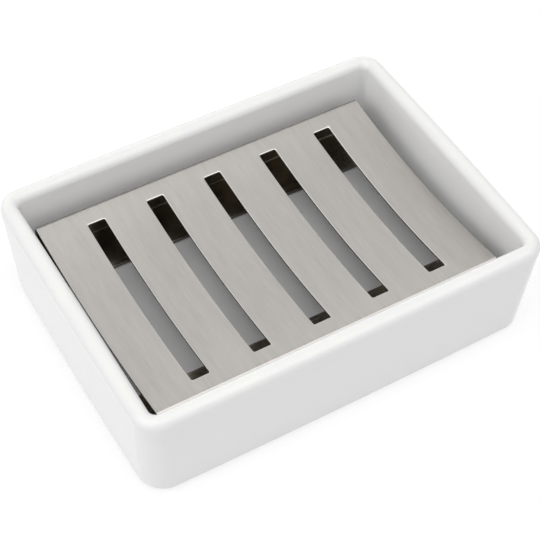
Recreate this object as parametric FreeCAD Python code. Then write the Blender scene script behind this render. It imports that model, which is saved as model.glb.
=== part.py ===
import FreeCAD, Part
import math
import os

# A soap dish: a glazed ceramic tray on four soft pads, with a loose steel rack standing on its floor.
# Millimetres. The origin is on the table under the middle of the dish.
# +X runs along the dish, +Y to its back and +Z up.

# Ceramic dish
dish_length = 132.0  # over the swell of the short sides, at the rim before it is rounded
dish_depth = 97.0  # over the swell of the long sides, at the rim before it is rounded
dish_height = 35.0  # foot to rim
side_swell = 0.4  # how far the middle of a side stands out past its ends
outer_lean = 1.7  # how far each side leans in from the rim down to the foot
rim_width = 5.8
rim_crest = 0.5  # flat left along the top of the rim between its two roundings
inner_lean = 1.2  # how far each inside wall leans in from the rim down to the floor
floor_height = 12.4  # floor of the dish above its foot
floor_thickness = 6.4
floor_round = 1.5  # sweep of the inside walls into the floor
floor_corner_radius = 0.3  # corner of the flat of the floor; the walls turn round the same centre

# Foot of the dish: a ring round a hollow underside
foot_width = 7.0
foot_edge_round = 1.6
hollow_lean = 1.5  # how far the walls of the hollow lean in towards its roof
hollow_edge_break = 0.8  # chamfer where the hollow opens
hollow_roof_round = 3.0

# Soft pads under the corners of the foot
pad_diameter = 9.0
pad_height = 1.0
pad_taper = 0.4  # how much smaller the radius is at the table
pad_land = 1.0  # flat foot left round a pad

# Steel rack: one sheet, folded down along its long edges and in again under its top
sheet_thickness = 0.9
rack_height = 12.8  # feet to the crest of the long edges
top_sag = 3.1  # how far the middle of the top lies below those crests
edge_bend_inside = 0.4  # inside radius of the fold between top and leg
foot_bend_inside = 0.5  # inside radius of the fold between leg and foot
foot_flange_width = 16.3
flange_corner_radius = 2.0
slot_count = 5
slot_width = 5.6
slot_margin = 6.5  # slot end to the long edge of the rack
slot_corner_radius = 0.5

# How the loose rack stands on the flat of the floor
end_clearance = 1.5  # flat floor left past each end of a rack that stands in the middle
side_clearance = 1.1  # the same along its long edges
left_rest_gap = 0.6  # flat floor left past the left end as the rack stands
back_rest_gap = 0.65  # flat floor left behind the rack as it stands

# Levels and spans that follow from the sizes above
foot_level = pad_height
rim_level = foot_level + dish_height
floor_level = foot_level + floor_height
hollow_level = floor_level - floor_thickness
rim_round = (rim_width - rim_crest) / 2
wall_foot = rim_width + inner_lean  # inset of the inside wall where it meets the floor
floor_edge = wall_foot + floor_round  # inset of the flat of the floor
rim_corner_radius = floor_edge + floor_corner_radius
foot_length = dish_length - 2 * outer_lean
foot_depth = dish_depth - 2 * outer_lean
rack_length = dish_length - 2 * (floor_edge + end_clearance)
rack_depth = dish_depth - 2 * (floor_edge + side_clearance)
rack_middle_x = left_rest_gap - end_clearance
rack_middle_y = side_clearance - back_rest_gap
edge_bend_radius = edge_bend_inside + sheet_thickness
foot_bend_radius = foot_bend_inside + sheet_thickness
bar_width = (rack_length - slot_count * slot_width) / (slot_count + 1)
slot_pitch = slot_width + bar_width
slot_length = rack_depth - 2 * slot_margin
pad_radius = pad_diameter / 2
pad_inset = foot_edge_round + pad_land + pad_radius  # pad centre from the sides of the foot

# The ends of a side turn by these angles, so that a side and the corners beside it share a tangent
long_side_turn = 2 * math.atan(2 * side_swell / dish_length)
short_side_turn = 2 * math.atan(2 * side_swell / dish_depth)
quarter_turn = math.pi / 2


def at(x, y, z):
    return FreeCAD.Vector(x, y, z)


def arc(start, middle, end):
    return Part.Arc(start, middle, end).toShape()


def line(start, end):
    return Part.LineSegment(start, end).toShape()


def rounded_path(points, radii):
    """Edges through points in order, each point between two others rounded, or left sharp at radius 0."""
    edges = []
    here = points[0]
    for before, corner, after, radius in zip(points, points[1:], points[2:], radii):
        back = (before - corner).normalize()
        ahead = (after - corner).normalize()
        half_angle = back.getAngle(ahead) / 2
        reach = radius / math.tan(half_angle)
        edges.append(line(here, corner + back * reach))
        here = corner + ahead * reach
        if radius:
            bisector = (back + ahead).normalize()
            depth = radius / math.sin(half_angle) - radius
            edges.append(arc(corner + back * reach, corner + bisector * depth, here))
    edges.append(line(here, points[-1]))
    return edges


def corner_centre(length, depth, corner_radius):
    """Centre of the back right corner of a rectangle with rounded corners and swelled sides."""
    long_tangent = math.tan(long_side_turn / 2)
    short_tangent = math.tan(short_side_turn / 2)
    x_reach = length / 2 - corner_radius
    y_reach = depth / 2 - corner_radius
    spread = 1 - long_tangent * short_tangent
    return (x_reach - short_tangent * y_reach) / spread, (y_reach - long_tangent * x_reach) / spread


def turned(section, radii, radius, first, last, centre_x, centre_y):
    """A section, given by insets and levels, turned from one heading to another about an upright axis."""
    points = [at(radius - inset, 0, level) for inset, level in section]
    edges = rounded_path(points, radii)
    edges.append(line(points[-1], points[0]))
    axis = at(0, 0, 1)
    stretch = Part.Face(Part.Wire(edges)).revolve(at(0, 0, 0), axis, math.degrees(last - first))
    stretch.rotate(at(0, 0, 0), axis, math.degrees(first))
    stretch.translate(at(centre_x, centre_y, 0))
    return stretch


def swept_block(length, depth, corner_radius, section, radii):
    """Block on a rectangle with rounded corners and swelled sides, its edge shaped by a section.

    The section starts and ends inset by the corner radius, at the corners' own centres. Sides and corners
    are tangent arcs, so each is that section turned about an axis, and a core fills the middle.
    """
    corner_x, corner_y = corner_centre(length, depth, corner_radius)
    long_radius = corner_radius + corner_x / math.sin(long_side_turn)
    short_radius = corner_radius + corner_y / math.sin(short_side_turn)
    right_end = short_side_turn
    back_start = quarter_turn - long_side_turn
    back_end = quarter_turn + long_side_turn
    left_start = 2 * quarter_turn - short_side_turn
    half_round = [
        turned(section, radii, short_radius, -right_end, right_end, length / 2 - short_radius, 0),
        turned(section, radii, corner_radius, right_end, back_start, corner_x, corner_y),
        turned(section, radii, long_radius, back_start, back_end, 0, depth / 2 - long_radius),
        turned(section, radii, corner_radius, back_end, left_start, -corner_x, corner_y),
    ]
    other_half = [stretch.copy().rotate(at(0, 0, 0), at(0, 0, 1), 180) for stretch in half_round]
    low = section[0][1]
    high = section[-1][1]
    outline = []
    for sign in (1, -1):
        right = at(sign * corner_x, sign * corner_y, low)
        left = at(-sign * corner_x, sign * corner_y, low)
        outline.append(arc(right, at(0, sign * (depth / 2 - corner_radius), low), left))
        opposite = at(-sign * corner_x, -sign * corner_y, low)
        outline.append(arc(left, at(-sign * (length / 2 - corner_radius), 0, low), opposite))
    core = Part.Face(Part.Wire(outline)).extrude(at(0, 0, high - low))
    return core.multiFuse(half_round + other_half).removeSplitter()


def hollow_corner_radius():
    """Corner of the underside's hollow, large enough to leave the pads on flat foot."""
    diagonal = math.sqrt(2)
    land = pad_radius + pad_land + hollow_edge_break
    overlap = diagonal * (pad_inset - foot_width)
    return max(rim_corner_radius, (land + overlap) / (diagonal - 1))


def make_dish():
    wall = [
        (rim_corner_radius, foot_level),
        (outer_lean, foot_level),
        (0, rim_level),
        (rim_width, rim_level),
        (wall_foot, floor_level),
        (rim_corner_radius, floor_level),
    ]
    wall_rounds = [foot_edge_round, rim_round, rim_round, floor_round]
    tray = swept_block(dish_length, dish_depth, rim_corner_radius, wall, wall_rounds)
    corner = hollow_corner_radius()
    below = foot_level - hollow_edge_break
    roof_wall = [
        (corner, below),
        (-2 * hollow_edge_break, below),
        (0, foot_level + hollow_edge_break),
        (hollow_lean, hollow_level),
        (corner, hollow_level),
    ]
    roof_rounds = [0, 0, hollow_roof_round]
    hollow_length = foot_length - 2 * foot_width
    hollow_depth = foot_depth - 2 * foot_width
    hollow = swept_block(hollow_length, hollow_depth, corner, roof_wall, roof_rounds)
    return tray.cut(hollow).Solids[0]


def make_pad(side_x, side_y):
    centre = at(side_x * (foot_length / 2 - pad_inset), side_y * (foot_depth / 2 - pad_inset), 0)
    return Part.makeCone(pad_radius - pad_taper, pad_radius, pad_height, centre)


def rack_side(depth_in):
    """Half of the folded section, from the middle of the top to a foot, a depth inside the sheet."""
    half = rack_depth / 2
    bend_y = half - edge_bend_radius
    sag_radius = (bend_y**2 + top_sag**2) / (2 * top_sag)  # to the centre line of the edge bends
    sag_centre = rack_height - top_sag + sag_radius - edge_bend_radius
    bend_z = rack_height - edge_bend_radius
    lean = math.asin(bend_y / sag_radius)
    top_radius = sag_radius - edge_bend_radius + depth_in
    edge_radius = edge_bend_radius - depth_in
    foot_radius = foot_bend_radius - depth_in
    foot_y = half - foot_bend_radius
    leg_y = half - depth_in
    bend_turn = (quarter_turn + lean) / 2

    def on_top(angle):
        return at(0, top_radius * math.sin(angle), sag_centre - top_radius * math.cos(angle))

    def on_edge(angle):
        return at(0, bend_y + edge_radius * math.cos(angle), bend_z + edge_radius * math.sin(angle))

    def on_foot(angle):
        drop = foot_radius * math.sin(angle)
        return at(0, foot_y + foot_radius * math.cos(angle), foot_bend_radius - drop)

    flange_end = at(0, half - foot_flange_width, depth_in)
    return [
        arc(on_top(0), on_top(lean / 2), on_top(lean)),
        arc(on_top(lean), on_edge(bend_turn), on_edge(0)),
        line(on_edge(0), at(0, leg_y, foot_bend_radius)),
        arc(on_foot(0), on_foot(quarter_turn / 2), on_foot(quarter_turn)),
        line(on_foot(quarter_turn), flange_end),
    ]


def folded_sheet():
    """The whole sheet before its slots are cut, centred on X and Y with its feet on the level plane."""
    outside = rack_side(0)
    inside = rack_side(sheet_thickness)
    free_edge = line(outside[-1].lastVertex().Point, inside[-1].lastVertex().Point)
    middle = line(outside[0].firstVertex().Point, inside[0].firstVertex().Point)
    section = Part.Face(Part.Wire(Part.__sortEdges__(outside + inside + [free_edge, middle])))
    half = section.extrude(at(rack_length, 0, 0))
    half.translate(at(-rack_length / 2, 0, 0))
    other_half = half.mirror(at(0, 0, 0), at(0, 1, 0))
    return half.fuse(other_half).removeSplitter().Solids[0]


def upright_edges(shape):
    """Straight edges of a shape that stand along Z."""
    fuzz = 1e-6
    return [edge for edge in shape.Edges if edge.BoundBox.XLength < fuzz and edge.BoundBox.YLength < fuzz]


def slot_cutter(middle_x):
    bottom = rack_height - top_sag - 2 * sheet_thickness
    near_corner = at(middle_x - slot_width / 2, -slot_length / 2, bottom)
    slot = Part.makeBox(slot_width, slot_length, rack_height, near_corner)
    return slot.makeFillet(slot_corner_radius, upright_edges(slot))


def make_rack():
    sheet = folded_sheet()
    free_edge_y = rack_depth / 2 - foot_flange_width
    near = free_edge_y + sheet_thickness
    free_corners = [edge for edge in upright_edges(sheet) if abs(edge.BoundBox.YMin) < near]
    sheet = sheet.makeFillet(flange_corner_radius, free_corners)
    first = -slot_pitch * (slot_count - 1) / 2
    slots = [slot_cutter(first + index * slot_pitch) for index in range(slot_count)]
    rack = sheet.cut(Part.makeCompound(slots)).Solids[0]
    rack.translate(at(rack_middle_x, rack_middle_y, floor_level))
    return rack


os.makedirs("parts", exist_ok=True)
nodes = {"dish": make_dish(), "rack": make_rack()}
for depth_name, side_y in (("front", -1), ("back", 1)):
    for width_name, side_x in (("left", -1), ("right", 1)):
        nodes[f"pad_{depth_name}_{width_name}"] = make_pad(side_x, side_y)
for name, shape in nodes.items():
    shape.exportStep(f"parts/{name}.step")
    print(name, shape.ShapeType, len(shape.Solids), shape.isValid(), round(shape.Volume, 1), shape.BoundBox)
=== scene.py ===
import math
from bisect import bisect_left
import bmesh
import bpy
from mathutils import Matrix, Vector


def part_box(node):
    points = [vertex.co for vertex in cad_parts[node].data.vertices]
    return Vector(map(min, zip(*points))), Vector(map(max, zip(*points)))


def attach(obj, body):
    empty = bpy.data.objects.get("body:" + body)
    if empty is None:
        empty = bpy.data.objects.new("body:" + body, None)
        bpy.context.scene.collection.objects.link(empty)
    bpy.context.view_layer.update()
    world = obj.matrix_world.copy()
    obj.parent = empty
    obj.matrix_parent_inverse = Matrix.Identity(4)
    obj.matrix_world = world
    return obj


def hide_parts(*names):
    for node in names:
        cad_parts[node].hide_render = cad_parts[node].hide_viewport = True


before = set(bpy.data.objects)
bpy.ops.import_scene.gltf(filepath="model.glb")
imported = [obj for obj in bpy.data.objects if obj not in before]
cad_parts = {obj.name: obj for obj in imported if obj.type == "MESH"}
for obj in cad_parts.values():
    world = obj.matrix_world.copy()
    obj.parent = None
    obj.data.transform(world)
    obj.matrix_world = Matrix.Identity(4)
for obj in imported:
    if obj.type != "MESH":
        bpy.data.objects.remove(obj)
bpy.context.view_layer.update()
print("frame:", ", ".join(sorted(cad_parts)))

quarterTurn = math.pi / 2
millimetre = 0.001
samePoint = 0.0001 * millimetre  # points nearer than this count as one


# drawing helpers, shared by the pieces

def softPath(points, radii, steps):  # a drawn line with its inner corners rounded
    path = [Vector(points[0])]
    for before, corner, after, radius in zip(points, points[1:], points[2:], radii):
        corner = Vector(corner)
        back = (Vector(before) - corner).normalized()
        ahead = (Vector(after) - corner).normalized()
        half = back.angle(ahead) / 2
        centre = corner + (back + ahead).normalized() * (radius / math.sin(half))
        first = (corner + back * (radius / math.tan(half)) - centre).normalized()
        last = (corner + ahead * (radius / math.tan(half)) - centre).normalized()
        path += [centre + first.slerp(last, step / steps) * radius for step in range(steps + 1)]
    return path + [Vector(points[-1])]


def spaced(path, gap):  # extra points, so that no two neighbours are further apart than gap
    fine = [path[0]]
    for start, end in zip(path, path[1:]):
        count = max(1, math.ceil((end - start).length / gap))
        fine += [start.lerp(end, step / count) for step in range(1, count + 1)]
    return fine


def arcPoints(centre, radius, start, end, steps):  # leaves out the last point, where the next arc starts
    turns = [start + (end - start) * step / steps for step in range(steps)]
    return [(centre[0] + radius * math.cos(turn), centre[1] + radius * math.sin(turn)) for turn in turns]


def roundedRectangle(width, height, radius, steps, middle):
    points = []
    for index, (right, up) in enumerate(((1, 1), (-1, 1), (-1, -1), (1, -1))):
        centre = (middle[0] + right * (width / 2 - radius), middle[1] + up * (height / 2 - radius))
        end = (index + 1) * quarterTurn
        points += arcPoints(centre, radius, index * quarterTurn, end, steps)
        points.append((centre[0] + radius * math.cos(end), centre[1] + radius * math.sin(end)))
    return points


def wrap(mesh, rings):  # faces between neighbouring rings, which all have the same number of points
    rows = [[mesh.verts.new(point) for point in ring] for ring in rings]
    for lower, upper in zip(rows, rows[1:]):
        for index in range(len(lower)):
            following = (index + 1) % len(lower)
            mesh.faces.new((lower[index], lower[following], upper[following], upper[index]))
    return rows


def skin(mesh, rings):  # the same, closed at both ends
    rows = wrap(mesh, rings)
    mesh.faces.new(list(reversed(rows[0])))
    mesh.faces.new(rows[-1])
    return rows


def addObject(name, data):
    thing = bpy.data.objects.new(name, data)
    bpy.context.scene.collection.objects.link(thing)
    return thing


def toPiece(mesh, name, body, replaced):
    data = bpy.data.meshes.new(name)
    mesh.to_mesh(data)
    mesh.free()
    data.shade_smooth()
    piece = addObject(name, data)
    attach(piece, body)
    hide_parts(replaced)
    return piece


# ceramic dish

dishShape = {
    "sideSwell": 0.4 * millimetre,
    "mouthSwell": -0.15 * millimetre,  # the inside edge of the rim bows in a little
    "outerLean": 1.7 * millimetre,
    "rimWidth": 5.65 * millimetre,
    "rimCrest": 0.5 * millimetre,
    "innerLean": 1.2 * millimetre,
    "floorRound": 1.5 * millimetre,
    "rimCorner": 6.9 * millimetre,
    "footCorner": 8.2 * millimetre,
    "mouthCorner": 2.2 * millimetre,
    "floorCorner": 0.8 * millimetre,
    "floorThickness": 6.4 * millimetre,
    "footWidth": 7.0 * millimetre,
    "footRound": 1.6 * millimetre,
    "hollowLean": 1.5 * millimetre,
    "hollowCorner": 15.6 * millimetre,
    "hollowBreak": 0.8 * millimetre,
    "hollowSoftening": 0.6 * millimetre,
    "roofRound": 3.0 * millimetre,
    "cornerSteps": 20,
    "sideSteps": 28,
    "roundSteps": 10,
    "rowGap": 3.0 * millimetre,
    "glazeStart": 0.3,  # share of the foot's rounding over which the glaze comes in
    "thinGlaze": 0.6,  # share of the usual glaze left on the crest of the rim, where the lighter thin-glaze colour also paints light onto the rim's top
    "pooledGlaze": 1.6,  # on the floor and round its edge, where it gathers; its greyer colour there is also painted shade under the rack
}


def swelledRing(length, depth, radius, level, swell):  # four round corners, and sides that are shallow arcs
    longTurn = 2 * math.atan(2 * swell / length)
    shortTurn = 2 * math.atan(2 * swell / depth)
    longTangent = math.tan(longTurn / 2)
    shortTangent = math.tan(shortTurn / 2)
    reachX = length / 2 - radius
    reachY = depth / 2 - radius
    spread = 1 - longTangent * shortTangent
    cornerX = (reachX - shortTangent * reachY) / spread
    cornerY = (reachY - longTangent * reachX) / spread
    longRadius = radius + cornerX / math.sin(longTurn)
    shortRadius = radius + cornerY / math.sin(shortTurn)
    side = dishShape["sideSteps"]
    corner = dishShape["cornerSteps"]
    backStart = quarterTurn - longTurn
    backEnd = quarterTurn + longTurn
    leftStart = 2 * quarterTurn - shortTurn
    half = arcPoints((length / 2 - shortRadius, 0), shortRadius, -shortTurn, shortTurn, side)
    half += arcPoints((cornerX, cornerY), radius, shortTurn, backStart, corner)
    half += arcPoints((0, depth / 2 - longRadius), longRadius, backStart, backEnd, side)
    half += arcPoints((-cornerX, cornerY), radius, backEnd, leftStart, corner)
    return [(x, y, level) for x, y in half] + [(-x, -y, level) for x, y in half]


def buildDish():
    low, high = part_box("dish")
    foot = low.z
    rim = high.z
    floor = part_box("rack")[0].z  # the rack stands on the floor of the dish
    roof = floor - dishShape["floorThickness"]
    rimRound = (dishShape["rimWidth"] - dishShape["rimCrest"]) / 2
    crest = dishShape["rimWidth"] / 2
    slope = dishShape["outerLean"] / (rim - foot)
    roundedOff = rimRound * (math.hypot(1, slope) + slope - 1)  # what the rounded rim takes off a side
    length = high.x - low.x + 2 * roundedOff
    depth = high.y - low.y + 2 * roundedOff
    wallFoot = dishShape["rimWidth"] + dishShape["innerLean"]
    floorEdge = wallFoot + dishShape["floorRound"]
    hollowInset = dishShape["outerLean"] + dishShape["footWidth"]
    edgeBreak = dishShape["hollowBreak"]
    softening = dishShape["hollowSoftening"]
    steps = dishShape["roundSteps"]

    # sections as (inset, level): the hollow's insets count from its own edge, the wall's from the rim's
    underside = softPath(
        [(dishShape["hollowCorner"] - softening, roof), (dishShape["hollowLean"], roof),
         (0, foot + edgeBreak), (-edgeBreak, foot), (-2 * edgeBreak, foot)],
        [dishShape["roofRound"], softening, softening], steps)
    wall = softPath(
        [(floorEdge, foot), (dishShape["outerLean"], foot), (0, rim), (dishShape["rimWidth"], rim),
         (wallFoot, floor), (floorEdge, floor)],
        [dishShape["footRound"], rimRound, rimRound, dishShape["floorRound"]], steps)[1:]

    def cornerRadius(inset, level):  # rounder at the foot than at the rim, and tight inside the mouth
        drop = (rim - level) / (rim - foot)
        if inset <= crest or level < roof:
            swollen = dishShape["rimCorner"] + (dishShape["footCorner"] - dishShape["rimCorner"]) * drop
            return swollen - inset + dishShape["outerLean"] * drop
        tight = max(dishShape["rimCorner"] - inset, dishShape["mouthCorner"])
        onFloor = max(0, inset - wallFoot) / dishShape["floorRound"]
        return tight + (dishShape["floorCorner"] - tight) * onFloor

    rings = []
    glaze = []
    for inset, level in spaced(underside, dishShape["rowGap"]):
        shrink = 2 * (hollowInset + inset)
        rings.append(swelledRing(length - shrink, depth - shrink, dishShape["hollowCorner"] - inset, level,
                                 dishShape["sideSwell"]))
        glaze.append(min(1, (level - foot) / edgeBreak))
    for inset, level in spaced(wall, dishShape["rowGap"]):
        shrink = 2 * inset
        inside = min(1, max(0, inset / crest - 1)) if level > roof else 0  # grows from the crest inwards
        swell = dishShape["sideSwell"] + (dishShape["mouthSwell"] - dishShape["sideSwell"]) * inside
        rings.append(swelledRing(length - shrink, depth - shrink, cornerRadius(inset, level), level, swell))
        coatAndPaintedLight = min(1, (level - foot) / (dishShape["glazeStart"] * dishShape["footRound"]))
        # thinner glaze on the crest of the rim, whose lighter colour is painted light on the rim's top
        if level > rim - rimRound:
            coatAndPaintedLight -= (1 - dishShape["thinGlaze"]) * (1 - abs(inset - crest) / crest)
        # pooled glaze on the floor, whose grey colour is partly painted shade under the rack
        if inset > dishShape["rimWidth"] and level < floor + 2 * dishShape["floorRound"]:
            coatAndPaintedLight = dishShape["pooledGlaze"]
        glaze.append(coatAndPaintedLight)

    mesh = bmesh.new()
    coatAndPaintedLightLayer = mesh.verts.layers.float.new("glaze")
    for row, coatAndPaintedLight in zip(skin(mesh, rings), glaze):
        for vert in row:
            vert[coatAndPaintedLightLayer] = coatAndPaintedLight
    return toPiece(mesh, "glazedDish", "dish", "dish")


dish = buildDish()
print("dish:", len(dish.data.vertices), "points")


# folded steel rack

rackShape = {
    "thickness": 0.9 * millimetre,
    "topSag": 3.1 * millimetre,
    "edgeBend": 1.3 * millimetre,
    "footBend": 1.4 * millimetre,
    "flangeWidth": 16.3 * millimetre,
    "flangeCorner": 2.0 * millimetre,
    "flangeLift": 0.25 * millimetre,  # the bend springs back and leaves the free edge just off the floor
    "slotCount": 5,
    "slotWidth": 5.6 * millimetre,
    "slotMargin": 6.5 * millimetre,
    "slotCorner": 0.5 * millimetre,
    "outOfSquare": 0.0075,  # slope of the sheet's two ends against its slots
    "deburr": 0.24 * millimetre,
    "topSteps": 18,
    "bendSteps": 8,
    "cornerSteps": 6,
    "flatWeight": 80,  # how far large faces outweigh small ones in the smoothed shading
}


def foldLine(depth, height):  # half of the folded section, from the middle of the top out to a foot
    half = depth / 2
    edgeBend = rackShape["edgeBend"]
    footBend = rackShape["footBend"]
    bendY = half - edgeBend
    sagRadius = (bendY**2 + rackShape["topSag"]**2) / (2 * rackShape["topSag"])
    lean = math.asin(bendY / sagRadius)
    topRadius = sagRadius - edgeBend
    sagCentre = height - rackShape["topSag"] + topRadius
    line = arcPoints((0, sagCentre), topRadius, -quarterTurn, lean - quarterTurn, rackShape["topSteps"])
    line += arcPoints((bendY, height - edgeBend), edgeBend, quarterTurn + lean, 0, rackShape["bendSteps"])
    line.append((half, height - edgeBend))
    line += arcPoints((half - footBend, footBend), footBend, 0, -quarterTurn, rackShape["bendSteps"])
    line += [(half - footBend, 0), (half - rackShape["flangeWidth"], rackShape["flangeLift"])]
    return [Vector(point) for point in line], topRadius


def outwardNormals(line):
    normals = []
    for index in range(len(line)):
        along = line[min(index + 1, len(line) - 1)] - line[max(index - 1, 0)]
        normals.append(Vector((-along.y, along.x)).normalized())
    normals[0] = Vector((0, 1))  # the sheet is level in the middle of the top
    return normals


def sheetRings(width, length, corner, grow, middle):  # the cut edge of the flat sheet, softened on both faces
    # grow is -1 round the sheet itself and 1 round a slot
    thickness = rackShape["thickness"]
    deburr = rackShape["deburr"]
    soft = deburr * (1 - math.cos(quarterTurn / 2))
    profile = [(deburr, 0), (soft, soft), (0, deburr),
               (0, thickness - deburr), (soft, thickness - soft), (deburr, thickness)]
    rings = []
    for inset, depth in profile:
        change = grow * inset
        outline = roundedRectangle(width + 2 * change, length + 2 * change, corner + change,
                                   rackShape["cornerSteps"], middle)
        rings.append([(x, along, depth) for x, along in outline])
    return rings


def cutOutlines(width, reach, slotReach):  # the blank, with its ends out of square, and the slots
    slope = rackShape["outOfSquare"]
    blank = []
    for ring in sheetRings(width, 2 * reach, rackShape["flangeCorner"], -1, (0, 0)):
        blank.append([(x - slope * along, along, depth) for x, along, depth in ring])
    outlines = [blank]
    count = rackShape["slotCount"]
    bar = (width - count * rackShape["slotWidth"]) / (count + 1)
    pitch = bar + rackShape["slotWidth"]
    first = -pitch * (count - 1) / 2
    for index in range(count):
        outlines.append(sheetRings(rackShape["slotWidth"], 2 * slotReach, rackShape["slotCorner"], 1,
                                   (first + index * pitch, 0)))
    return outlines


def cutSheet(mesh, outlines, edgeLayer):  # the flat sheet: its cut edges, then its two faces
    faceEdges = ([], [])
    for rings in outlines:
        rows = wrap(mesh, rings)
        for row in rows[1:-1]:
            for vert in row:
                vert[edgeLayer] = 1
        for edges, row in zip(faceEdges, (rows[0], rows[-1])):
            edges += [mesh.edges.get((row[index - 1], row[index])) for index in range(len(row))]
    for edges in faceEdges:
        bmesh.ops.triangle_fill(mesh, use_beauty=True, edges=edges)


def buildRack():
    low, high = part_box("rack")
    size = high - low
    middle = (low + high) / 2
    line, topRadius = foldLine(size.y, size.z)
    normals = outwardNormals(line)
    runs = [0.0]  # lengths along the sheet from the middle of the top
    for start, end in zip(line, line[1:]):
        runs.append(runs[-1] + (end - start).length)
    slotReach = topRadius * math.asin((size.y / 2 - rackShape["slotMargin"]) / topRadius)

    mesh = bmesh.new()
    edgeLayer = mesh.verts.layers.float.new("cutEdge")
    freeLayer = mesh.verts.layers.float.new("fromFreeEdge")
    insideLayer = mesh.verts.layers.float.new("insideFace")
    flatLayer = mesh.verts.layers.float_vector.new("flatPlace")
    cutSheet(mesh, cutOutlines(size.x, runs[-1], slotReach), edgeLayer)
    for run in runs[:-1]:
        for along in {run, -run}:  # a row of points along every fold
            bmesh.ops.bisect_plane(mesh, geom=mesh.verts[:] + mesh.edges[:] + mesh.faces[:], dist=samePoint,
                                   plane_co=(0, along, 0), plane_no=(0, 1, 0))
    for vert in mesh.verts:  # the flat sheet is folded along the line
        x, along, depth = vert.co
        run = min(abs(along), runs[-1])
        index = max(1, bisect_left(runs, run - samePoint))
        share = (run - runs[index - 1]) / (runs[index] - runs[index - 1])
        outward = normals[index - 1].lerp(normals[index], share)
        place = line[index - 1].lerp(line[index], share) - outward * depth
        vert[flatLayer] = (x, along, depth)
        vert[freeLayer] = runs[-1] - run
        vert[insideLayer] = depth / rackShape["thickness"]
        vert.co = (middle.x + x, middle.y + math.copysign(place.x, along), low.z + place.y)
    bmesh.ops.recalc_face_normals(mesh, faces=mesh.faces[:])
    if mesh.calc_volume(signed=True) < 0:
        bmesh.ops.reverse_faces(mesh, faces=mesh.faces[:])
    rack = toPiece(mesh, "foldedRack", "rack", "rack")
    flatness = rack.modifiers.new("flatFaces", "WEIGHTED_NORMAL")
    flatness.mode = "FACE_AREA"
    flatness.weight = rackShape["flatWeight"]
    return rack


rack = buildRack()
print("rack:", len(rack.data.vertices), "points")


# soft pads under the foot

padShape = {
    "footRound": 0.35 * millimetre,
    "topRound": 0.06 * millimetre,
    "taper": 0.4 * millimetre,
    "turnSteps": 48,
    "roundSteps": 6,
}


def buildPad(node):
    low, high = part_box(node)
    middle = (low + high) / 2
    outer = (high.x - low.x) / 2
    inner = outer - padShape["taper"]
    section = softPath([(inner / 2, low.z), (inner, low.z), (outer, high.z), (outer / 2, high.z)],
                       [padShape["footRound"], padShape["topRound"]], padShape["roundSteps"])
    rings = []
    for radius, level in section:
        ring = arcPoints(middle, radius, 0, 4 * quarterTurn, padShape["turnSteps"])
        rings.append([(x, y, level) for x, y in ring])
    mesh = bmesh.new()
    skin(mesh, rings)
    name = "".join(word.capitalize() for word in node.split("_"))
    return toPiece(mesh, name[0].lower() + name[1:], "dish", node)


pads = [buildPad(node) for node in sorted(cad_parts) if node.startswith("pad_")]
print("pads:", len(pads))


# shader helpers and the effects that the finishes share

noiseSpread = (0.3, 0.7)  # the middle of a noise's range, stretched to run from 0 to 1
driftLook = {
    "scale": 60.0,
    "detail": 2.0,
    "grainScale": 900.0,
    "grainDetail": 3.0,
}
dustLook = {
    "scale": 1400.0,
    "amount": 0.1,
    "speckEdge": (0.05, 0.2),  # where a speck starts to fade and where it ends, in cells
    "bareShare": 0.82,  # share of the cells without a speck
    "facing": (0.4, 0.95),  # upward parts of the normal at which dust starts to lie and lies in full
}


def put(tree, kind, **settings):
    node = tree.nodes.new(kind)
    for name, value in settings.items():
        setattr(node, name, value)
    return node


def feed(tree, socket, value):  # from another socket, or with a fixed value
    if isinstance(value, bpy.types.NodeSocket):
        tree.links.new(value, socket)
    else:
        socket.default_value = value


def emptyTree(owner):  # the nodes of a material or a world
    owner.use_nodes = True
    owner.node_tree.nodes.clear()
    return owner.node_tree


def newFinish(name):  # a material, its nodes, its shader and the places on the piece
    material = bpy.data.materials.new(name)
    tree = emptyTree(material)
    shader = put(tree, "ShaderNodeBsdfPrincipled")
    output = put(tree, "ShaderNodeOutputMaterial")
    tree.links.new(shader.outputs["BSDF"], output.inputs["Surface"])
    place = put(tree, "ShaderNodeTexCoord")
    return material, tree, shader, place.outputs["Object"]


def newGroup(name, numbers, outputs):  # every group takes a place on the piece, and numbers by name
    group = bpy.data.node_groups.new(name, "ShaderNodeTree")
    group.interface.new_socket(name="Vector", in_out="INPUT", socket_type="NodeSocketVector")
    for label, value in numbers.items():
        socket = group.interface.new_socket(name=label, in_out="INPUT", socket_type="NodeSocketFloat")
        socket.default_value = value
    for label in outputs:
        group.interface.new_socket(name=label, in_out="OUTPUT", socket_type="NodeSocketFloat")
    return group, put(group, "NodeGroupInput"), put(group, "NodeGroupOutput")


def mathNode(tree, operation, first, second):
    node = put(tree, "ShaderNodeMath", operation=operation)
    feed(tree, node.inputs[0], first)
    feed(tree, node.inputs[1], second)
    return node.outputs[0]


def mixNode(tree, kind, share, first, second):
    node = put(tree, "ShaderNodeMix", data_type=kind)
    for label, value in (("Factor", share), ("A", first), ("B", second)):
        feed(tree, node.inputs[label], value)
    return node.outputs["Result"]


def rescale(tree, value, fromLow, fromHigh, toLow, toHigh):
    node = put(tree, "ShaderNodeMapRange")
    tree.links.new(value, node.inputs["Value"])
    limits = {"From Min": fromLow, "From Max": fromHigh, "To Min": toLow, "To Max": toHigh}
    for label, number in limits.items():
        node.inputs[label].default_value = number
    return node.outputs["Result"]


def tint(tree, mask, colours):  # a colour ramp from a list of (place, colour)
    ramp = put(tree, "ShaderNodeValToRGB")
    elements = ramp.color_ramp.elements  # a new ramp has its two ends
    for place, _ in colours[1:-1]:
        elements.new(place)
    for element, (place, colour) in zip(elements, colours):
        element.position = place
        element.color = (*colour, 1)
    tree.links.new(mask, ramp.inputs["Fac"])
    return ramp.outputs["Color"]


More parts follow.
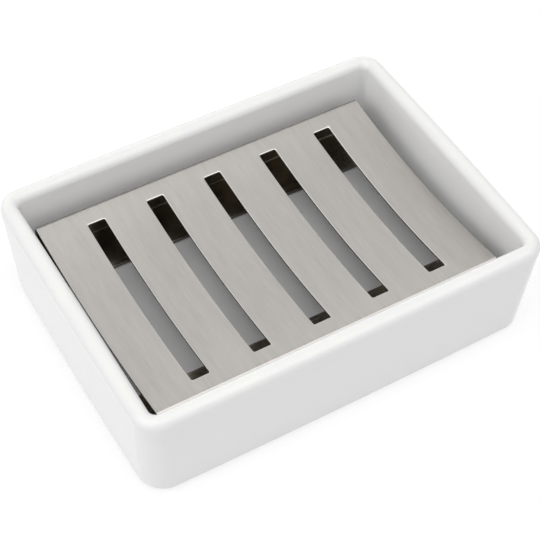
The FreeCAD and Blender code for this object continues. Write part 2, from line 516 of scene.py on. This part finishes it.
def makeSlowDrift():  # broad, soft changes over a surface, with a finer grain as a second output
    scales = {"Scale": driftLook["scale"], "Grain Scale": driftLook["grainScale"]}
    group, given, result = newGroup("slowDrift", scales, ["Drift", "Grain"])
    for label, scale, detail in (("Drift", "Scale", "detail"), ("Grain", "Grain Scale", "grainDetail")):
        noise = put(group, "ShaderNodeTexNoise")
        noise.inputs["Detail"].default_value = driftLook[detail]
        group.links.new(given.outputs["Vector"], noise.inputs["Vector"])
        group.links.new(given.outputs[scale], noise.inputs["Scale"])
        spread = rescale(group, noise.outputs["Fac"], *noiseSpread, 0, 1)
        group.links.new(spread, result.inputs[label])
    return group


def makeRestingDust():  # sparse specks that settle on faces turned up
    numbers = {"Scale": dustLook["scale"], "Amount": dustLook["amount"]}
    group, given, result = newGroup("restingDust", numbers, ["Dust"])
    cells = put(group, "ShaderNodeTexVoronoi")
    group.links.new(given.outputs["Vector"], cells.inputs["Vector"])
    group.links.new(given.outputs["Scale"], cells.inputs["Scale"])
    dots = rescale(group, cells.outputs["Distance"], *dustLook["speckEdge"], 1, 0)
    chosen = put(group, "ShaderNodeSeparateColor")
    group.links.new(cells.outputs["Color"], chosen.inputs["Color"])
    few = mathNode(group, "GREATER_THAN", chosen.outputs["Red"], dustLook["bareShare"])
    facing = put(group, "ShaderNodeNewGeometry")
    parts = put(group, "ShaderNodeSeparateXYZ")
    group.links.new(facing.outputs["Normal"], parts.inputs["Vector"])
    upward = rescale(group, parts.outputs["Z"], *dustLook["facing"], 0, 1)
    dust = mathNode(group, "MULTIPLY", mathNode(group, "MULTIPLY", dots, few), upward)
    group.links.new(mathNode(group, "MULTIPLY", dust, given.outputs["Amount"]), result.inputs["Dust"])
    return group


slowDrift = makeSlowDrift()
restingDust = makeRestingDust()


def useGroup(tree, group, place, **values):  # an underscore stands for the blank in a socket's name
    node = put(tree, "ShaderNodeGroup", node_tree=group)
    tree.links.new(place, node.inputs["Vector"])
    for label, value in values.items():
        node.inputs[label.replace("_", " ")].default_value = value
    return node.outputs


def readAttribute(tree, name, output):
    return put(tree, "ShaderNodeAttribute", attribute_name=name).outputs[output]


def bump(tree, shader, heights):  # chained bumps from a list of (height, depth in metres)
    normal = None
    for height, depth in heights:
        node = put(tree, "ShaderNodeBump")
        node.inputs["Distance"].default_value = depth
        tree.links.new(height, node.inputs["Height"])
        if normal is not None:
            tree.links.new(normal, node.inputs["Normal"])
        normal = node.outputs["Normal"]
    tree.links.new(normal, shader.inputs["Normal"])


# white glaze on a pale clay body

glazeLook = {
    "clay": (0.74, 0.69, 0.61),
    # the cream of thin glaze over the clay, made lighter than the walls as painted light on the top of the
    # rim
    "thin": (0.952, 0.953, 0.908),
    "white": (0.91, 0.91, 0.91),
    # grey of the pooled glaze, darkened as painted shade on the floor under the rack
    "pooled": (0.73, 0.735, 0.74),
    "clayUpTo": 0.12,  # these four are shares of the thickest glaze
    "thinAt": 0.3,
    "whiteFrom": 0.55,
    "whiteUpTo": 0.72,
    "unevenness": 0.12,  # share of the usual glaze, more or less
    "shine": (0.05, 0.11),
    "clayRoughness": 0.8,
    "rippleScale": 55.0,
    "rippleDepth": 0.014 * millimetre,
    "peelScale": 700.0,
    "peelDepth": 0.002 * millimetre,
    "dust": 0.12,
}


def makeGlaze():
    material, tree, shader, place = newFinish("whiteGlaze")
    drift = useGroup(tree, slowDrift, place,
                     Scale=glazeLook["rippleScale"], Grain_Scale=glazeLook["peelScale"])
    dust = useGroup(tree, restingDust, place, Amount=glazeLook["dust"])["Dust"]
    coatAndPaintedLight = readAttribute(tree, "glaze", "Fac")
    uneven = rescale(tree, drift["Drift"], 0, 1, -glazeLook["unevenness"], glazeLook["unevenness"])
    share = mathNode(tree, "DIVIDE", mathNode(tree, "ADD", coatAndPaintedLight, uneven), dishShape["pooledGlaze"])
    # the thin-glaze colour paints light on the rim's crest, and the pooled colour paints shade on the floor
    colour = tint(tree, share, [
        (glazeLook["clayUpTo"], glazeLook["clay"]),
        (glazeLook["thinAt"], glazeLook["thin"]),
        (glazeLook["whiteFrom"], glazeLook["white"]),
        (glazeLook["whiteUpTo"], glazeLook["white"]),
        (1, glazeLook["pooled"]),
    ])
    tree.links.new(colour, shader.inputs["Base Color"])
    glossy = rescale(tree, drift["Drift"], 0, 1, *glazeLook["shine"])
    bare = rescale(tree, share, glazeLook["clayUpTo"], glazeLook["thinAt"], glazeLook["clayRoughness"], 0)
    rough = mathNode(tree, "MAXIMUM", glossy, bare)
    tree.links.new(mathNode(tree, "ADD", rough, dust), shader.inputs["Roughness"])
    bump(tree, shader, [(drift["Drift"], glazeLook["rippleDepth"]), (drift["Grain"], glazeLook["peelDepth"])])
    return material


# steel sheet, brushed along the slots on its outer face

steelLook = {
    "dark": (0.395, 0.381, 0.359),
    "light": (0.455, 0.439, 0.414),
    "fullDark": 0.1,  # brush marks at or below this are all dark
    "fullLight": 0.9,  # and at or above this all light
    "roughness": (0.30, 0.38),
    "roughnessDrift": 0.02,
    "strokes": {"across": 3600.0, "along": 120.0, "weight": 0.65},
    "bands": {"across": 420.0, "along": 22.0, "weight": 0.35},
    "lineDetail": 3.0,
    "brushDepth": 0.002 * millimetre,
    "mill": (0.36, 0.33, 0.29),  # the unbrushed inner face, darker and browner than the outer face as painted shade, since it lies in shade under the top and on the flanges
    "millRoughness": 0.22,
    "scratches": {  # on the inner face, beside its free edges
        "across": 1300.0,
        "along": 40.0,
        "reach": 4.0 * millimetre,
        "roughness": 0.1,
    },
    "corner": (0.78, 0.765, 0.74),  # the outer corners of cut edges, burnished when they were deburred, and much lighter than the sheet as a painted highlight along the edges
    "cornerRoughness": 0.2,
    "cut": (0.15, 0.14, 0.13),  # the cut edges themselves, left rough as the die tore them, and near black as painted shade on the cut walls
    "cutRoughness": 0.5,
    "driftScale": 35.0,
    "dust": 0.06,
}


def stretchedNoise(tree, place, acrossSheet, alongSheet):  # lines, from finer noise one way than the other
    stretch = put(tree, "ShaderNodeMapping")
    stretch.inputs["Scale"].default_value = (acrossSheet, alongSheet, alongSheet)
    tree.links.new(place, stretch.inputs["Vector"])
    noise = put(tree, "ShaderNodeTexNoise")
    noise.inputs["Scale"].default_value = 1  # the stretch has set the scale
    noise.inputs["Detail"].default_value = steelLook["lineDetail"]
    tree.links.new(stretch.outputs["Vector"], noise.inputs["Vector"])
    return rescale(tree, noise.outputs["Fac"], *noiseSpread, 0, 1)


def makeSteel():
    material, tree, shader, place = newFinish("brushedSteel")
    drift = useGroup(tree, slowDrift, place, Scale=steelLook["driftScale"])
    dust = useGroup(tree, restingDust, place, Amount=steelLook["dust"])["Dust"]
    flat = readAttribute(tree, "flatPlace", "Vector")
    inside = readAttribute(tree, "insideFace", "Fac")
    edge = readAttribute(tree, "cutEdge", "Fac")
    away = readAttribute(tree, "fromFreeEdge", "Fac")
    cornerDepth = rackShape["deburr"] / rackShape["thickness"]

    layers = []
    for brush in (steelLook["strokes"], steelLook["bands"]):
        noise = stretchedNoise(tree, flat, brush["across"], brush["along"])
        layers.append(mathNode(tree, "MULTIPLY", noise, brush["weight"]))
    marks = mathNode(tree, "ADD", *layers)
    brushed = tint(tree, marks, [(steelLook["fullDark"], steelLook["dark"]),
                                 (steelLook["fullLight"], steelLook["light"])])
    # the inner face takes the mill colour, darkened as painted shade
    sheet = mixNode(tree, "RGBA", inside, brushed, (*steelLook["mill"], 1))
    # cut edges: a painted highlight on their outer corners and painted shade on the cut walls
    edgeColour = tint(tree, inside, [(cornerDepth / 2, steelLook["corner"]), (cornerDepth, steelLook["cut"])])
    tree.links.new(mixNode(tree, "RGBA", edge, sheet, edgeColour), shader.inputs["Base Color"])

    uneven = rescale(tree, drift["Drift"], 0, 1, -steelLook["roughnessDrift"], steelLook["roughnessDrift"])
    rough = mathNode(tree, "ADD", rescale(tree, marks, 0, 1, *steelLook["roughness"]), uneven)
    scratches = steelLook["scratches"]
    near = rescale(tree, away, 0, scratches["reach"], scratches["roughness"], 0)
    lines = stretchedNoise(tree, flat, scratches["along"], scratches["across"])
    millRough = mathNode(tree, "ADD", mathNode(tree, "MULTIPLY", near, lines), steelLook["millRoughness"])
    edgeRough = rescale(tree, inside, cornerDepth / 2, cornerDepth, steelLook["cornerRoughness"],
                        steelLook["cutRoughness"])
    rough = mixNode(tree, "FLOAT", inside, rough, millRough)
    rough = mixNode(tree, "FLOAT", edge, rough, edgeRough)
    tree.links.new(mathNode(tree, "ADD", rough, dust), shader.inputs["Roughness"])
    shader.inputs["Metallic"].default_value = 1
    bump(tree, shader, [(layers[0], steelLook["brushDepth"])])
    return material


# grey silicone

padLook = {
    "dark": (0.52, 0.53, 0.54),
    "light": (0.66, 0.67, 0.68),
    "roughness": (0.42, 0.6),
    "driftScale": 240.0,
    "grainScale": 5200.0,
    "grainDepth": 0.01 * millimetre,
    "dust": 0.2,
}


def makeSilicone():
    material, tree, shader, place = newFinish("greySilicone")
    drift = useGroup(tree, slowDrift, place,
                     Scale=padLook["driftScale"], Grain_Scale=padLook["grainScale"])
    dust = useGroup(tree, restingDust, place, Amount=padLook["dust"])["Dust"]
    colour = tint(tree, drift["Drift"], [(0, padLook["dark"]), (1, padLook["light"])])
    tree.links.new(colour, shader.inputs["Base Color"])
    rough = rescale(tree, drift["Grain"], 0, 1, *padLook["roughness"])
    tree.links.new(mathNode(tree, "ADD", rough, dust), shader.inputs["Roughness"])
    bump(tree, shader, [(drift["Grain"], padLook["grainDepth"])])
    return material


dish.data.materials.append(makeGlaze())
rack.data.materials.append(makeSteel())
silicone = makeSilicone()
for pad in pads:
    pad.data.materials.append(silicone)
print("finishes:", len(bpy.data.materials))


# floor, light and camera

stageLook = {
    "floorSize": 8.0,
    "floorDrop": 0.02 * millimetre,  # keeps the floor from lying in the same plane as the pads
    "floorColour": (0.94, 0.94, 0.94, 1),
    "floorGlow": 0.72,  # share of the white floor that the camera sees whatever falls on it
    "floorShade": (0.32, 0.32, 0.32, 1),  # and the share that takes the object's shadow
    "shadowReach": (0.16, 0.4),  # distances between which the floor turns to plain white
    "backdrop": (1, 1, 1, 1),
    "ambient": 0.335,
    "lampAim": (0, 0, 0.02),
}
lamps = {
    "overheadSoftbox": {"place": (-0.08, -0.2, 1.15), "size": (2.2, 1.2), "power": 12.3},
    "leftSoftbox": {"place": (-1.15, -0.05, 0.6), "size": (0.9, 0.8), "power": 2.1},
    "backStrip": {"place": (0.1, 1.15, 0.45), "size": (1.6, 0.15), "power": 2.3},
}


def towardsCamera(tree):  # rays that show the background as it is: straight, mirrored or through glass
    path = put(tree, "ShaderNodeLightPath")
    seen = mathNode(tree, "MAXIMUM", path.outputs["Is Camera Ray"], path.outputs["Is Glossy Ray"])
    return mathNode(tree, "MAXIMUM", seen, path.outputs["Is Transmission Ray"])


def blendShaders(tree, share, first, second):
    node = put(tree, "ShaderNodeMixShader")
    tree.links.new(share, node.inputs["Fac"])
    tree.links.new(first, node.inputs[1])
    tree.links.new(second, node.inputs[2])
    return node.outputs[0]


def makeFloor():
    half = stageLook["floorSize"] / 2
    level = -stageLook["floorDrop"]
    data = bpy.data.meshes.new("paleFloor")
    data.from_pydata([(-half, -half, level), (half, -half, level), (half, half, level), (-half, half, level)],
                     [], [(0, 1, 2, 3)])
    floor = addObject("paleFloor", data)
    material = bpy.data.materials.new("paleFloor")
    tree = emptyTree(material)
    lit = put(tree, "ShaderNodeBsdfDiffuse")
    lit.inputs["Color"].default_value = stageLook["floorColour"]
    shade = put(tree, "ShaderNodeBsdfDiffuse")
    shade.inputs["Color"].default_value = stageLook["floorShade"]
    glow = put(tree, "ShaderNodeEmission")
    glow.inputs["Strength"].default_value = stageLook["floorGlow"]
    near = put(tree, "ShaderNodeAddShader")
    tree.links.new(shade.outputs[0], near.inputs[0])
    tree.links.new(glow.outputs[0], near.inputs[1])
    distance = put(tree, "ShaderNodeVectorMath", operation="LENGTH")
    geometry = put(tree, "ShaderNodeNewGeometry")
    tree.links.new(geometry.outputs["Position"], distance.inputs[0])
    away = rescale(tree, distance.outputs["Value"], *stageLook["shadowReach"], 0, 1)
    white = put(tree, "ShaderNodeEmission")
    seen = blendShaders(tree, away, near.outputs[0], white.outputs[0])
    above = blendShaders(tree, towardsCamera(tree), lit.outputs[0], seen)
    below = put(tree, "ShaderNodeBsdfTransparent")  # the floor hides nothing from underneath
    both = blendShaders(tree, geometry.outputs["Backfacing"], above, below.outputs[0])
    output = put(tree, "ShaderNodeOutputMaterial")
    tree.links.new(both, output.inputs["Surface"])
    data.materials.append(material)


def makeWorld():
    world = bpy.data.worlds.new("studio")
    bpy.context.scene.world = world
    tree = emptyTree(world)
    ambient = put(tree, "ShaderNodeBackground")
    ambient.inputs["Color"].default_value = stageLook["backdrop"]
    ambient.inputs["Strength"].default_value = stageLook["ambient"]
    white = put(tree, "ShaderNodeBackground")
    white.inputs["Color"].default_value = stageLook["backdrop"]
    output = put(tree, "ShaderNodeOutputWorld")
    sky = blendShaders(tree, towardsCamera(tree), ambient.outputs[0], white.outputs[0])
    tree.links.new(sky, output.inputs["Surface"])


def makeLamp(name, values):
    data = bpy.data.lights.new(name, "AREA")
    data.shape = "RECTANGLE"
    data.size, data.size_y = values["size"]
    data.energy = values["power"]
    lamp = addObject(name, data)
    lamp.location = values["place"]
    aim = Vector(stageLook["lampAim"]) - lamp.location
    lamp.rotation_mode = "QUATERNION"
    lamp.rotation_quaternion = aim.to_track_quat("-Z", "Y")


photoView = {
    "azimuth": -31.655,
    "elevation": 50.275,
    "roll": 1.748,
    "distance": 0.45636,
    "target": (-0.000405, -0.001955, 0.016),
    "focalPixels": 1531.2,
    "imagePixels": 540,
    "nearClip": 0.01,
}


def makeCamera():
    data = bpy.data.cameras.new("photoCamera")
    data.lens = data.sensor_width * photoView["focalPixels"] / photoView["imagePixels"]
    data.clip_start = photoView["nearClip"]
    camera = addObject("photoCamera", data)
    turn = math.radians(photoView["azimuth"])
    rise = math.radians(photoView["elevation"])
    roll = math.radians(photoView["roll"])
    back = Vector((math.sin(turn) * math.cos(rise), -math.cos(turn) * math.cos(rise), math.sin(rise)))
    right = (-back).cross(Vector((0, 0, 1))).normalized()
    up = right.cross(-back)
    tiltedRight = right * math.cos(roll) + up * math.sin(roll)
    tiltedUp = up * math.cos(roll) - right * math.sin(roll)
    axes = Matrix((tiltedRight, tiltedUp, back)).transposed()
    place = Vector(photoView["target"]) + back * photoView["distance"]
    camera.matrix_world = Matrix.Translation(place) @ axes.to_4x4()
    bpy.context.scene.camera = camera


makeFloor()
makeWorld()
for lampName, lampValues in lamps.items():
    makeLamp(lampName, lampValues)
makeCamera()
bpy.context.scene.view_settings.view_transform = "Standard"
print("stage: floor,", len(lamps), "lamps, camera")
